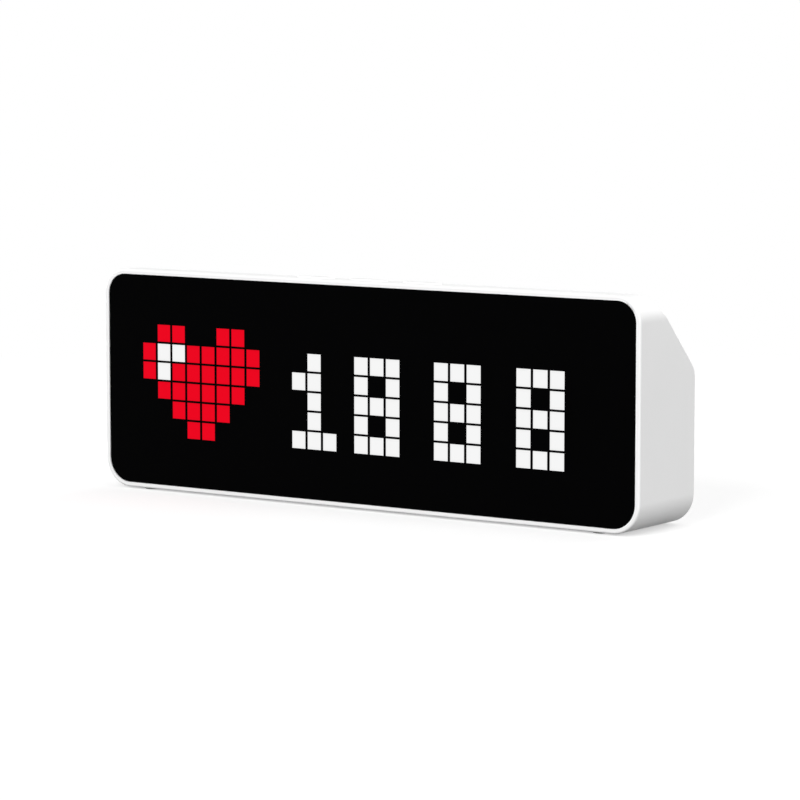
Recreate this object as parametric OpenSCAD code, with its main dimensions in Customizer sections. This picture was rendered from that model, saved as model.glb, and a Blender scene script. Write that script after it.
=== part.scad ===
// Pixel clock: a white case with a black panel of pixel windows, buttons on top and a sloped rear.
// The front faces -Y and +Z is up. The origin lies under the middle of the case, on the table.

/* [Case] */
// Width of the case
case_width = 200.6; // [181:0.1:215]
// Height of the case without its feet
case_height = 70.3; // [64:0.1:78]
// Depth of the case from the rim to the rear cover
case_depth = 31.9; // [29:0.1:38]
// Thickness of the case's walls
wall = 2; // [1.8:0.1:2.2]
// Radius of the upper corners, seen from the front
top_corner = 8; // [6.5:0.1:9]
// Radius of the lower corners, seen from the front
bottom_corner = 9.3; // [8.5:0.1:11]
// Depth of the flat top in front of the slope
top_flat = 8.1; // [7.9:0.1:10]
// Radius where the slope runs into the rear face
slope_blend = 5.5; // [4:0.1:8]
// Width of the white rim around the panel
rim_width = 1.5; // [1.2:0.1:1.7]
// Rounding of the rim's front edge
rim_round = 0.7; // [0.4:0.1:1]
// Height of the feet below the case
foot_proud = 0.5; // [0.4:0.1:1.5]
// Diameter of a foot where it meets the case
foot_dia = 7; // [6:0.1:9]
// Diameter of the flat that a foot stands on
foot_tip_dia = 4.5; // [3:0.1:5.5]
// Depth of the pocket that holds a foot
foot_pocket = 0.6; // [0.4:0.1:1]
// Distance from the case's side to a foot's middle
foot_side = 15.7; // [15:0.1:30]
// Distance from the case's front or rear to a foot's middle
foot_edge = 4.3; // [4.2:0.1:8]

/* [Rear cover] */
// Thickness of the rear cover
cover_thick = 2; // [1.6:0.1:2.2]
// Gap between the rear cover and the case around it
cover_seam = 0.15; // [0.1:0.05:0.3]
// Distance from the case's side to a cover screw
post_side = 10.3; // [10:0.1:14]
// Distance from the main board's right screws to the power button
power_end = 8.5; // [8:0.5:12]
// Distance from the power inlet to the power button
power_step = 17; // [13:0.5:18]

/* [Front panel] */
// Thickness of the panel
panel_thick = 2; // [1.6:0.1:2.4]
// How far the panel lies behind the rim
panel_recess = 0.3; // [0.1:0.1:0.6]
// Gap between the panel and the rim
panel_gap = 0.1; // [0.05:0.05:0.2]
// Thickness of the tape that holds the panel
tape_thick = 0.15; // [0.1:0.05:0.3]
// Thickness of the light diffusing film
film_thick = 0.25; // [0.15:0.05:0.4]

/* [Pixel matrix] */
// Distance from the left wall's inside to the matrix
matrix_margin = 1.1; // [0.9:0.1:1.8]
// Distance from the matrix to the right wall's inside
matrix_end = 5.9; // [5:0.1:8]
// Width of the dark bar between two columns of windows
column_bar = 0.9; // [0.5:0.05:1.2]
// Height of the dark bar between two rows of windows
row_bar = 0.7; // [0.2:0.05:1.2]
// Depth of the grid that keeps the pixels apart
grid_depth = 4; // [3.5:0.1:4.5]
// Thickness of the grid's walls between pixels
grid_wall = 0.6; // [0.4:0.05:1]
// Width of the grid's outer frame
grid_frame = 0.4; // [0.3:0.05:0.7]
// Width of a light source
led_size = 2; // [1.5:0.1:3]
// Height of a light source above its board
led_height = 0.8; // [0.5:0.1:1.2]

/* [Boards] */
// Thickness of the circuit boards
board_thick = 1.6; // [1:0.1:1.8]
// Gap between the case's wall and the LED board
led_board_gap = 0.6; // [0.4:0.1:1]
// Distance from the case's top to the LED board's upper edge
led_board_drop = 4.6; // [4.2:0.1:5]
// How far the main board reaches past each of its standoffs
main_board_reach = 3.5; // [3.2:0.1:8]
// Height of a boss's middle above the floor or below the ceiling
boss_drop = 5.6; // [5.2:0.1:5.7]
// Diameter of the board bosses
boss_dia = 5; // [4.5:0.1:5.2]

/* [Buttons] */
// Length of a top button
button_long = 14; // [10:0.5:15]
// Width of a top button
button_wide = 3.6; // [3:0.1:4]
// Distance from one top button to the next
button_step = 20; // [18.5:0.5:20.5]
// Height of a button above the surface around it
button_proud = 0.4; // [0.3:0.1:0.8]
// Gap around a button in its hole
button_gap = 0.2; // [0.15:0.05:0.3]
// Travel of a button
button_travel = 0.5; // [0.3:0.05:0.6]
// Diameter of the power button
power_dia = 7; // [5:0.1:7.4]

/* [Battery] */
// Diameter of a battery cell in its sleeve
cell_dia = 18.3; // [18:0.05:18.6]
// Length of a battery cell
cell_length = 65; // [59:0.1:72]

/* [Hidden] */
$fn = 64;
// Cuts reach this far past the faces that they open
over = 1;

// Lit pixels, top row first: W is white, R is red and a dot is dark
PICTURE = [
    "................................",
    "...RR..RR.......................",
    "..RWWRRRRR...W..WWW..WWW..WWW...",
    "..RWRRRRRR..WW..W.W..W.W..W.W...",
    "...RRRRRR....W..WWW..WWW..WWW...",
    "....RRRR.....W..W.W..W.W..W.W...",
    ".....RR.....WWW.WWW..WWW..WWW...",
    "................................"
];
columns = len(PICTURE[0]);
rows = len(PICTURE);

// Main planes of the case
side = case_width / 2;
yf = -case_depth / 2;
yr = case_depth / 2;
zb = foot_proud;
zt = zb + case_height;
mid_z = zb + case_height / 2;
floor_z = zb + wall;
ceiling_z = zt - wall;
flat_back = yf + top_flat;
slope_run = case_depth - top_flat;

// Layers behind the panel, front to rear
panel_front = yf + panel_recess;
panel_back = panel_front + panel_thick;
seat_y = panel_back + tape_thick;
film_back = panel_back + film_thick;
grid_back = film_back + grid_depth;
led_board_back = grid_back + board_thick;

// Rear cover
cover_in = yr - cover_thick;
cover_inset = wall + cover_seam;
tongue_long = 2.2;
tongue_thick = 1.2;
tongue_wide = 12;
tongue_at = [0.5, 0.8];

// Ledges and bosses that carry the panel and the LED board
ledge_thick = 1.5;
ledge_back = seat_y + ledge_thick;
ledge_gap = 0.4;
tape_wide = 4;
tape_side_gap = 0.4;
boss_at = [0.26, 0.78];
boss_pilot = 2;
boss_pilot_depth = 3;
boss_edge = 0.4;
boss_low = zb + boss_drop;
boss_high = zt - led_board_drop - boss_dia / 2 - boss_edge;
led_board_inset = wall + led_board_gap;
pair = [-1, 1];
foot_gap = 0.1;

// Small self-tapping screws
screw_shank = 1.9;
screw_hole = 2.4;
screw_head = 3.8;
screw_head_high = 1.2;
screw_slot = 0.6;
screw_slot_deep = 0.5;
screw_slot_edge = 0.5;
board_screw_long = 4.2;

// Case screws and their posts
post_x = side - post_side;
post_rise = 4;
post_z = floor_z + post_rise;
post_dia = 6;
post_clear = 1.5;
post_front = led_board_back + post_clear;
post_pilot_depth = 9;
case_screw_head = 4.6;
case_head_room = 0.2;
case_head_hole = case_screw_head + 2 * case_head_room;
case_head_high = 1.3;
case_screw_long = 8.5;
post_notch = 0.5;

// Top buttons
button_y = (seat_y + flat_back) / 2;
button_at = [-button_step, 0, button_step];
button_float = 0.1;
flange_thick = 1;
flange_tab = 1.3;
flange_trim = 0.6;
flange_y = button_wide - flange_trim;
stem_dia = 2.4;
stem_long = 1;
plunger_dia = 1.8;
plunger_gap = 0.2;
plunger_proud = 0.9;
plunger_in = 1;
switch_x = 6;
switch_y = 3;
switch_z = 3;
plunger_top = ceiling_z - button_float - flange_thick - stem_long;
switch_top = plunger_top - plunger_proud;
button_board_top = switch_top - switch_z;
button_board_thick = 1.2;
button_board_low = button_board_top - button_board_thick;
button_stack = zt - button_board_low;
button_board_end = 14;
button_board_gap = 0.2;
button_board_rear = 2.4;
button_board_half = button_step + button_board_end;
button_board_front = seat_y + button_board_gap;
button_board_back = button_y + button_board_rear;
bay_gap = 1;
button_bay = button_board_half + bay_gap;
stake_out = 11;
stake_x = button_step + stake_out;
stake_dia = 3.2;
stake_pin = 1.6;
stake_gap = 0.1;
stake_head = 0.4;

// Pixel matrix: as large as the width and the room between bosses and buttons allow
boss_stack = led_board_drop + boss_edge + boss_dia;
matrix_room = max(button_stack + stake_head, boss_stack) + ledge_gap + grid_frame;
pitch_x = (case_width - 2 * wall - matrix_margin - matrix_end) / columns;
pitch_z = (case_height - 2 * matrix_room) / rows;
window_w = pitch_x - column_bar;
window_h = pitch_z - row_bar;
matrix_w = columns * pitch_x;
matrix_h = rows * pitch_z;
matrix_left = -side + wall + matrix_margin;
matrix_right = matrix_left + matrix_w;
matrix_bottom = mid_z - matrix_h / 2;
matrix_top = matrix_bottom + matrix_h;
ledge_low = matrix_bottom - grid_frame - ledge_gap;
ledge_high = matrix_top + grid_frame + ledge_gap;

// Battery
cradle_tape_thick = 0.5;
cradle_base = 1.2;
cradle_wall = 1.2;
cradle_rise = 3;
cradle_share = 0.8;
cell_gap = 0.05;
strip_thick = 0.2;
strip_wide = 7;
cell_r = cell_dia / 2;
battery_y = (led_board_back + cover_in) / 2;
cradle_z = floor_z + cradle_tape_thick;
cradle_top = cradle_z + cradle_base + cradle_rise;
cell_z = cradle_z + cradle_base + cell_gap + cell_r;
battery_half = cell_length + 2 * strip_thick;
cradle_half = battery_half + cell_gap + cradle_wall;
cradle_bore = cell_r + cell_gap;
cradle_side = cradle_share * cradle_bore;

// Main board
board_gap = 2;
main_low = cell_z + cell_r + board_gap;
main_top = main_low + board_thick;
main_front_gap = 2.2;
main_rear_gap = 1.95;
main_front = led_board_back + main_front_gap;
main_back = cover_in - main_rear_gap;
main_mid = (main_front + main_back) / 2;
standoff_dia = 4.6;
standoff_gap = 1.55;
standoff_edge = 2.9;
standoff_x = cradle_half + standoff_gap + standoff_dia / 2;
main_half = standoff_x + main_board_reach;
standoff_y = [main_front + standoff_edge, main_back - standoff_edge];
standoff_pilot_depth = 6;
lead_notch_x = 3.4;
lead_notch_y = 5;

// Power inlet
power_x = standoff_x - power_end;
usb_x = power_x - power_step;
usb_w = 8.94;
usb_h = 3.26;
usb_wall = 0.3;
usb_deep = 7.4;
usb_set = 0.5;
usb_front = yr - usb_set;
usb_back = usb_front - usb_deep;
usb_z = main_top + usb_h / 2;
usb_hole_gap = 0.3;
usb_tongue_w = 6.7;
usb_tongue_h = 0.7;
usb_tongue_set = 1;
usb_block = 1.2;

// Power button
power_gap = 0.15;
power_sunk = 0.2;
power_lip = 1;
power_flange = power_dia + 2 * power_lip;
power_flange_thick = 0.9;
power_stem = 3;
power_stem_long = 0.9;
power_switch_x = 6;
power_switch_y = 4;
power_switch_z = 3.6;
power_z = main_top + power_switch_z / 2;
power_flange_back = cover_in - button_float;
power_flange_front = power_flange_back - power_flange_thick;
power_plunger_top = power_flange_front - power_stem_long;
power_switch_face = power_plunger_top - plunger_proud;

// Sound holes and vents in the rear cover
sound_dia = 1.2;
sound_step = 2.6;
sound_count = 3;
vent_count = 9;
vent_step = 4.2;
vent_wide = 1.6;
vent_long = 14;
vent_x = -62;

// Pieces on the main board
buzzer_x = 18;
buzzer_dia = 9;
buzzer_high = 4.5;
buzzer_mouth = 2;
buzzer_mouth_deep = 0.8;
buzzer_edge = 0.5;
buzzer_y = main_back - buzzer_dia / 2 - buzzer_edge;
module_x = -14;
module_long = 16.6;
module_wide = 13.2;
module_thick = 0.8;
shield_long = 11;
shield_wide = 12;
shield_high = 2.4;
coin_end = 30;
coin_x = -main_half + coin_end;
coin_dia = 12.5;
coin_thick = 2;
coin_gap = 0.1;
holder_size = 14;
holder_base = 1;
holder_lip = 1.6;
climate_end = 19;
climate_x = -main_half + climate_end;
climate_edge = 3;
climate_y = main_back - climate_edge;
climate_size = [3, 3, 1];
sensor_size = [2, 0.9, 1.4];
sensor_gap = 2.2;
sensor_x = matrix_right + grid_frame + sensor_gap;
battery_socket_size = [5, 7.6, 4];
battery_socket_end = 10.5;
battery_socket_x = -main_half + battery_socket_end;
battery_plug_size = [3, 5.6, 3];
wire_dia = 1.2;
wire_gap = 0.8;
ribbon_x = 31;
ribbon_wide = 10;
ribbon_thick = 0.3;
ribbon_bend = 1.2;
ribbon_in = 1;
ribbon_socket_wide = 13;
ribbon_socket_deep = 2;
ribbon_socket_high = 4;
ribbon_rise = 10;
ribbon_socket_z = main_top + ribbon_rise;

// Chips and a coil on the main board: middle in X, middle in Y from the board's middle, size
chip_gap = 1.5;
chip_row = 3.5;
clock_chip = [5, 4, 1.5];
charger = [5, 5, 1];
serial_chip = [4, 4, 0.9];
coil = [4.5, 4.5, 3];
driver = [5, 4, 1.5];
clock_x = module_x - module_long / 2 - chip_gap - clock_chip[0] / 2;
charger_x = module_x + module_long / 2 + chip_gap + charger[0] / 2;
coil_x = charger_x + charger[0] / 2 + chip_gap + coil[0] / 2;
CHIPS = [
    [clock_x, 0, clock_chip],
    [charger_x, chip_row, charger],
    [charger_x, -chip_row, serial_chip],
    [coil_x, -chip_row, coil],
    [power_x, -chip_row, driver]
];

// Middle of a pixel, counted from the lower left corner
function pixel_x(column) = matrix_left + (column + 0.5) * pitch_x;
function pixel_z(row) = matrix_bottom + (row + 0.5) * pitch_z;

// Letter that the picture gives a pixel
function shown(column, row) = PICTURE[rows - 1 - row][column];

// Box between two opposite corners
module box(low, high) {
    translate(low)
        cube(high - low);
}

// Drawing in XZ, given depth from y0 to y1
module front_slab(y0, y1) {
    translate([0, y1, 0])
        rotate([90, 0, 0])
            linear_extrude(y1 - y0)
                children();
}

// Drawing in YZ, given length from x0 to x1
module side_slab(x0, x1) {
    translate([x0, 0, 0])
        rotate([90, 0, 90])
            linear_extrude(x1 - x0)
                children();
}

// Round bar along Y
module rod_y(x, z, y0, y1, dia) {
    translate([x, y1, z])
        rotate([90, 0, 0])
            cylinder(h = y1 - y0, d = dia);
}

// Round bar along X
module rod_x(y, z, x0, x1, dia) {
    translate([x0, y, z])
        rotate([0, 90, 0])
            cylinder(h = x1 - x0, d = dia);
}

// Round bar along Z
module rod_z(x, y, z0, z1, dia) {
    translate([x, y, z0])
        cylinder(h = z1 - z0, d = dia);
}

// Slot with round ends, drawn about its middle
module pill(long, wide) {
    square([long - wide, wide], center = true);
    for (s = pair)
        translate([s * (long - wide) / 2, 0])
            circle(d = wide);
}

// Front outline of the case, set in on all sides
module outline(inset) {
    translate([-side + inset, zb + bottom_corner])
        square([case_width - 2 * inset, case_height - bottom_corner - top_corner]);
    translate([-side + top_corner, zt - top_corner])
        square([case_width - 2 * top_corner, top_corner - inset]);
    translate([-side + bottom_corner, zb + inset])
        square([case_width - 2 * bottom_corner, bottom_corner - inset]);
    for (s = pair) {
        translate([s * (side - top_corner), zt - top_corner])
            circle(top_corner - inset);
        translate([s * (side - bottom_corner), zb + bottom_corner])
            circle(bottom_corner - inset);
    }
}

// Side profile of the case, set in from the rear face and the slope
module profile(inset) {
    back = yr - inset;
    bend_z = zt - slope_run - inset * (sqrt(2) - 1);
    bend_r = slope_blend - inset;
    reach = bend_r * tan(22.5);
    slant = reach * sin(45);
    polygon([
        [yf - over, zb - over],
        [back, zb - over],
        [back, bend_z - reach],
        [back - slant, bend_z + slant],
        [back + bend_z - zt - over, zt + over],
        [yf - over, zt + over]
    ]);
    translate([back - bend_r, bend_z - reach])
        circle(bend_r);
}

// Quarter of a circle in the first quadrant
module quarter(r) {
    intersection() {
        circle(r);
        square(r);
    }
}

// Corner of the rim's rounded front, swept through a quarter turn
module rim_corner(x, z, r, turn) {
    translate([x, yf + rim_round, z])
        rotate([90, 0, 0])
            rotate([0, 0, turn])
                rotate_extrude(angle = 90) {
                    square([r - rim_round, rim_round]);
                    translate([r - rim_round, 0])
                        quarter(rim_round);
                }
}

// Rounded front of the rim: a middle block, two edge blocks and four corners
module rim_front() {
    top_half = side - top_corner;
    low_half = side - bottom_corner;
    translate([0, 0, zb + bottom_corner])
        linear_extrude(case_height - top_corner - bottom_corner) {
            translate([-side + rim_round, yf])
                square([case_width - 2 * rim_round, rim_round]);
            for (s = pair)
                translate([s * (side - rim_round), yf + rim_round])
                    scale([s, -1])
                        quarter(rim_round);
        }
    side_slab(-top_half, top_half) {
        translate([yf, zt - top_corner])
            square([rim_round, top_corner - rim_round]);
        translate([yf + rim_round, zt - rim_round])
            mirror([1, 0])
                quarter(rim_round);
    }
    side_slab(-low_half, low_half) {
        translate([yf, zb + rim_round])
            square([rim_round, bottom_corner - rim_round]);
        translate([yf + rim_round, zb + rim_round])
            rotate(180)
                quarter(rim_round);
    }
    rim_corner(top_half, zt - top_corner, top_corner, 0);
    rim_corner(-top_half, zt - top_corner, top_corner, 90);
    rim_corner(-low_half, zb + bottom_corner, bottom_corner, 180);
    rim_corner(low_half, zb + bottom_corner, bottom_corner, 270);
}

// Case before it is hollowed
module case_solid() {
    rim_front();
    intersection() {
        front_slab(yf + rim_round, yr)
            outline(0);
        side_slab(-side, side)
            profile(0);
    }
}

// Ledges behind the panel, left open in the middle of the top for the button board
module ledges() {
    intersection() {
        front_slab(seat_y, ledge_back)
            outline(wall / 2);
        union() {
            box([-side, yf, zb], [side, yr, ledge_low]);
            box([-side, yf, ledge_high], [-button_bay, yr, zt]);
            box([button_bay, yf, ledge_high], [side, yr, zt]);
        }
    }
}

// Places what follows at every LED board boss
module at_bosses() {
    for (s = pair, t = boss_at, z = [boss_low, boss_high])
        if (z == boss_low || t * side > button_bay)
            translate([s * t * side, 0, z])
                children();
}

// Places what follows at every main board standoff
module at_standoffs() {
    for (s = pair, y = standoff_y)
        translate([s * standoff_x, y, 0])
            children();
}

// White moulded case, open at the rear
module housing() {
    color("white")
        difference() {
            union() {
                difference() {
                    case_solid();
                    front_slab(yf - over, seat_y)
                        outline(rim_width);
                    front_slab(yf - over, yr + over)
                        outline(wall);
                }
                ledges();
                at_bosses()
                    rod_y(0, 0, seat_y, grid_back, boss_dia);
                for (s = pair) {
                    rod_y(s * post_x, post_z, post_front, cover_in, post_dia);
                    box([s * post_x - post_dia / 2, post_front, floor_z - wall / 2],
                        [s * post_x + post_dia / 2, cover_in, post_z]);
                    rod_z(s * stake_x, button_y, button_board_top, ceiling_z + wall / 2, stake_dia);
                    rod_z(s * stake_x, button_y, button_board_low - stake_head, ceiling_z, stake_pin);
                }
                at_standoffs()
                    rod_z(0, 0, floor_z - wall / 2, main_low, standoff_dia);
            }
            at_bosses()
                rod_y(0, 0, grid_back - boss_pilot_depth, grid_back + over, boss_pilot);
            at_standoffs()
                rod_z(0, 0, main_low - standoff_pilot_depth, main_low + over, boss_pilot);
            for (s = pair)
                rod_y(s * post_x, post_z, cover_in - post_pilot_depth, cover_in + over, boss_pilot);
            for (x = button_at)
                translate([x, button_y, ceiling_z - over])
                    linear_extrude(wall + 2 * over)
                        pill(button_long + 2 * button_gap, button_wide + 2 * button_gap);
            at_feet()
                rod_z(0, 0, zb - over, zb + foot_pocket, foot_dia + 2 * foot_gap);
        }
}

// Places what follows at every foot
module at_feet() {
    for (s = pair, t = pair)
        translate([s * (side - foot_side), t * (yr - foot_edge), 0])
            children();
}

// Four rubber feet, each seated in a shallow pocket
module rubber_feet() {
    color("dimgray")
        at_feet() {
            rod_z(0, 0, zb, zb + foot_pocket, foot_dia);
            cylinder(h = zb, d1 = foot_tip_dia, d2 = foot_dia);
        }
}

// Places what follows on the slope, with Z along its outward normal and X along the case
module on_slope(x) {
    translate([x, yr - slope_run / 2, zt - slope_run / 2])
        rotate([-45, 0, 0])
            children();
}

// White rear cover: rear face and slope in one bent plate with tongues under the top wall
module rear_cover() {
    color("white")
        difference() {
            union() {
                intersection() {
                    front_slab(yf, yr)
                        outline(cover_inset);
                    difference() {
                        side_slab(-side, side)
                            profile(0);
                        side_slab(-side - over, side + over)
                            profile(cover_thick);
                    }
                }
                cover_tongues();
            }
            for (s = pair) {
                rod_y(s * post_x, post_z, cover_in - over, yr + over, screw_hole);
                rod_y(s * post_x, post_z, yr - case_head_high, yr + over, case_head_hole);
            }
            front_slab(cover_in - over, yr + over)
                translate([usb_x, usb_z])
                    pill(usb_w + 2 * usb_hole_gap, usb_h + 2 * usb_hole_gap);
            rod_y(power_x, power_z, cover_in - over, yr + over, power_dia + 2 * power_gap);
            for (i = [1:sound_count], j = [1:sound_count])
                rod_y(
                    buzzer_x + (i - (sound_count + 1) / 2) * sound_step,
                    main_top + buzzer_high / 2 + (j - (sound_count + 1) / 2) * sound_step,
                    cover_in - over, yr + over, sound_dia
                );
            for (i = [0:vent_count - 1])
                on_slope(vent_x + i * vent_step)
                    translate([0, 0, -cover_thick - over])
                        linear_extrude(cover_thick + 2 * over)
                            rotate(90)
                                pill(vent_long, vent_wide);
        }
}

// Tongues that hold the cover's upper edge under the top wall
module cover_tongues() {
    top = ceiling_z - cover_seam;
    back = flat_back + wall + cover_seam - cover_thick;
    for (s = pair, t = tongue_at)
        translate([s * t * side - tongue_wide / 2, back - tongue_long, top - tongue_thick])
            cube([tongue_wide, tongue_long, tongue_thick]);
}

// Screw along +Y with its head to the rear, seated at the origin
module screw(long, head, head_high) {
    difference() {
        union() {
            rod_y(0, 0, -long, head_high / 2, screw_shank);
            rod_y(0, 0, 0, head_high, head);
        }
        for (turn = [0, 90])
            rotate([0, turn, 0])
                box([screw_slot_edge - head / 2, head_high - screw_slot_deep, -screw_slot / 2],
                    [head / 2 - screw_slot_edge, head_high + over, screw_slot / 2]);
    }
}

// Screws of the rear cover
module case_screws() {
    color("silver")
        for (s = pair)
            translate([s * post_x, yr - case_head_high, post_z])
                screw(case_screw_long, case_screw_head, case_head_high - case_head_room);
}

// Places what follows at every pixel that shows one of these letters
module at_pixels(letters) {
    for (column = [0:columns - 1], row = [0:rows - 1])
        if (len(search(shown(column, row), letters)) > 0)
            translate([pixel_x(column), pixel_z(row)])
                children();
}

// Black panel with a window for each pixel
module front_panel() {
    color("black")
        front_slab(panel_front, panel_back)
            difference() {
                outline(rim_width + panel_gap);
                at_pixels(".WR")
                    square([window_w, window_h], center = true);
            }
}

// Windows of the pixels that show one letter
module pixel_windows(letter) {
    front_slab(panel_front, panel_back)
        at_pixels(letter)
            square([window_w, window_h], center = true);
}

// Windows that stay dark
module dark_pixel_windows() {
    color("black")
        pixel_windows(".");
}

// Windows that glow white
module white_pixel_windows() {
    color("white")
        pixel_windows("W");
}

// Windows that glow red
module red_pixel_windows() {
    color("crimson")
        pixel_windows("R");
}

// Tape between the ledges and the panel
module panel_tape() {
    tape_x = side - bottom_corner;
    color("gray") {
        box([-tape_x, panel_back, ledge_low - tape_wide],
            [tape_x, seat_y, ledge_low]);
        for (s = [0, 1])
            mirror([s, 0, 0])
                box([button_bay + tape_side_gap, panel_back, ledge_high],
                    [side - top_corner, seat_y, ledge_high + tape_wide]);
    }
}

// Film that spreads the light, as large as the grid
module diffuser_film() {
    color("whitesmoke")
        box([matrix_left - grid_frame, panel_back, matrix_bottom - grid_frame],
            [matrix_right + grid_frame, film_back, matrix_top + grid_frame]);
}

// Grid of walls that keeps the light of each pixel apart
module light_grid() {
    opening = [pitch_x - grid_wall, pitch_z - grid_wall];
    color("gainsboro")
        front_slab(film_back, grid_back)
            difference() {
                translate([matrix_left - grid_frame, matrix_bottom - grid_frame])
                    square([matrix_w + 2 * grid_frame, matrix_h + 2 * grid_frame]);
                at_pixels(".WR")
                    square(opening, center = true);
            }
}

// Board that carries the light sources
module led_board() {
    color("darkgreen")
        difference() {
            front_slab(grid_back, led_board_back)
                outline(led_board_inset);
            box([-side, yf, zt - led_board_drop], [side, yr, zt]);
            box([-button_bay, yf, button_board_low - ledge_gap], [button_bay, yr, zt]);
            at_bosses()
                rod_y(0, 0, yf, yr, screw_hole);
            for (s = pair)
                box([s * post_x - post_dia / 2 - post_notch, yf, zb],
                    [s * post_x + post_dia / 2 + post_notch, yr, post_z + post_dia / 2 + post_notch]);
        }
}

// One light source behind each pixel window
module led_chips() {
    color("ivory")
        front_slab(grid_back - led_height, grid_back)
            at_pixels(".WR")
                square(led_size, center = true);
}

// Screws of the LED board
module led_board_screws() {
    color("silver")
        at_bosses()
            translate([0, led_board_back, 0])
                screw(board_screw_long, screw_head, screw_head_high);
}

// Sensor that reads the room's light through the panel's right edge
module light_sensor() {
    color("ivory")
        translate([
            sensor_x - sensor_size[0] / 2,
            grid_back - sensor_size[1],
            mid_z - sensor_size[2] / 2
        ])
            cube(sensor_size);
}

// Top button: cap, retaining tabs and stem
module top_button(x) {
    flange_top = ceiling_z - button_float;
    flange_low = flange_top - flange_thick;
    color("white")
        translate([x, button_y, 0]) {
            translate([0, 0, flange_low])
                linear_extrude(zt + button_proud - flange_low)
                    pill(button_long, button_wide);
            translate([0, 0, flange_low + flange_thick / 2])
                cube([button_long + 2 * flange_tab, flange_y, flange_thick], center = true);
            rod_z(0, 0, plunger_top, flange_low + flange_thick / 2, stem_dia);
        }
}

// Plunger of a button's switch
module plunger(x) {
    color("black")
        rod_z(x, button_y, switch_top - plunger_in, plunger_top, plunger_dia);
}

// Left button on top
module left_button() {
    top_button(button_at[0]);
}

// Middle button on top
module middle_button() {
    top_button(button_at[1]);
}

// Right button on top
module right_button() {
    top_button(button_at[2]);
}

// Plunger under the left button
module left_plunger() {
    plunger(button_at[0]);
}

// Plunger under the middle button
module middle_plunger() {
    plunger(button_at[1]);
}

// Plunger under the right button
module right_plunger() {
    plunger(button_at[2]);
}

// Bodies of the three button switches
module button_switches() {
    color("dimgray")
        for (x = button_at)
            difference() {
                box([x - switch_x / 2, button_y - switch_y / 2, button_board_top],
                    [x + switch_x / 2, button_y + switch_y / 2, switch_top]);
                rod_z(x, button_y, switch_top - plunger_in - button_travel - plunger_gap,
                    switch_top + over, plunger_dia + 2 * plunger_gap);
            }
}

// Board of the button switches, held by two staked pins
module button_board() {
    color("darkgreen")
        difference() {
            box([-button_board_half, button_board_front, button_board_low],
                [button_board_half, button_board_back, button_board_top]);
            for (s = pair)
                rod_z(s * stake_x, button_y, button_board_low - over, button_board_top + over,
                    stake_pin + 2 * stake_gap);
        }
}

// Main board on its standoffs, with a notch for the battery lead
module main_board() {
    color("darkgreen")
        difference() {
            box([-main_half, main_front, main_low], [main_half, main_back, main_top]);
            at_standoffs()
                rod_z(0, 0, main_low - over, main_top + over, screw_hole);
            box([-main_half - over, battery_y - lead_notch_y / 2, main_low - over],
                [-main_half + lead_notch_x, battery_y + lead_notch_y / 2, main_top + over]);
        }
}

// Screws of the main board
module main_board_screws() {
    color("silver")
        at_standoffs()
            translate([0, 0, main_top])
                rotate([90, 0, 0])
                    screw(board_screw_long, screw_head, screw_head_high);
}

// Carrier of the radio module
module radio_module() {
    color("midnightblue")
        translate([module_x - module_long / 2, main_mid - module_wide / 2, main_top])
            cube([module_long, module_wide, module_thick]);
}

// Metal shield of the radio module
module radio_shield() {
    color("silver")
        translate([
            module_x + module_long / 2 - shield_long - (module_wide - shield_wide) / 2,
            main_mid - shield_wide / 2,
            main_top + module_thick
        ])
            cube([shield_long, shield_wide, shield_high]);
}

// Chips and coils on the main board
module board_chips() {
    color("black")
        for (chip = CHIPS)
            translate([chip[0] - chip[2][0] / 2, main_mid + chip[1] - chip[2][1] / 2, main_top])
                cube(chip[2]);
}

// Sensor of temperature and humidity near the vents
module climate_sensor() {
    color("whitesmoke")
        translate([climate_x - climate_size[0] / 2, climate_y - climate_size[1] / 2, main_top])
            cube(climate_size);
}

// Buzzer with its sound mouth
module buzzer() {
    color("black")
        difference() {
            rod_z(buzzer_x, buzzer_y, main_top, main_top + buzzer_high, buzzer_dia);
            rod_z(buzzer_x, buzzer_y, main_top + buzzer_high - buzzer_mouth_deep,
                main_top + buzzer_high + over, buzzer_mouth);
        }
}

// Holder of the coin cell
module coin_cell_holder() {
    color("black")
        translate([coin_x, main_mid, main_top])
            difference() {
                translate([-holder_size / 2, -holder_size / 2, 0])
                    cube([holder_size, holder_size, holder_base + holder_lip]);
                rod_z(0, 0, holder_base, holder_base + holder_lip + over, coin_dia + 2 * coin_gap);
            }
}

// Coin cell that keeps the time
module coin_cell() {
    color("silver")
        rod_z(coin_x, main_mid, main_top + holder_base, main_top + holder_base + coin_thick, coin_dia);
}

// Metal shell of the power inlet
module usb_socket() {
    color("silver")
        translate([usb_x, 0, usb_z])
            front_slab(usb_back, usb_front)
                difference() {
                    pill(usb_w, usb_h);
                    pill(usb_w - 2 * usb_wall, usb_h - 2 * usb_wall);
                }
}

// Insulator and contact tongue inside the inlet
module usb_tongue() {
    color("black")
        translate([usb_x, 0, usb_z]) {
            front_slab(usb_back, usb_back + usb_block)
                pill(usb_w - 2 * usb_wall, usb_h - 2 * usb_wall);
            front_slab(usb_back, usb_front - usb_tongue_set)
                square([usb_tongue_w, usb_tongue_h], center = true);
        }
}

// Power button on the rear
module power_button() {
    color("white") {
        rod_y(power_x, power_z, power_flange_front, yr - power_sunk, power_dia);
        rod_y(power_x, power_z, power_flange_front, power_flange_back, power_flange);
        rod_y(power_x, power_z, power_plunger_top, power_flange_back, power_stem);
    }
}

// Plunger of the power switch
module power_plunger() {
    color("black")
        rod_y(power_x, power_z, power_switch_face - plunger_in, power_plunger_top, plunger_dia);
}

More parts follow.
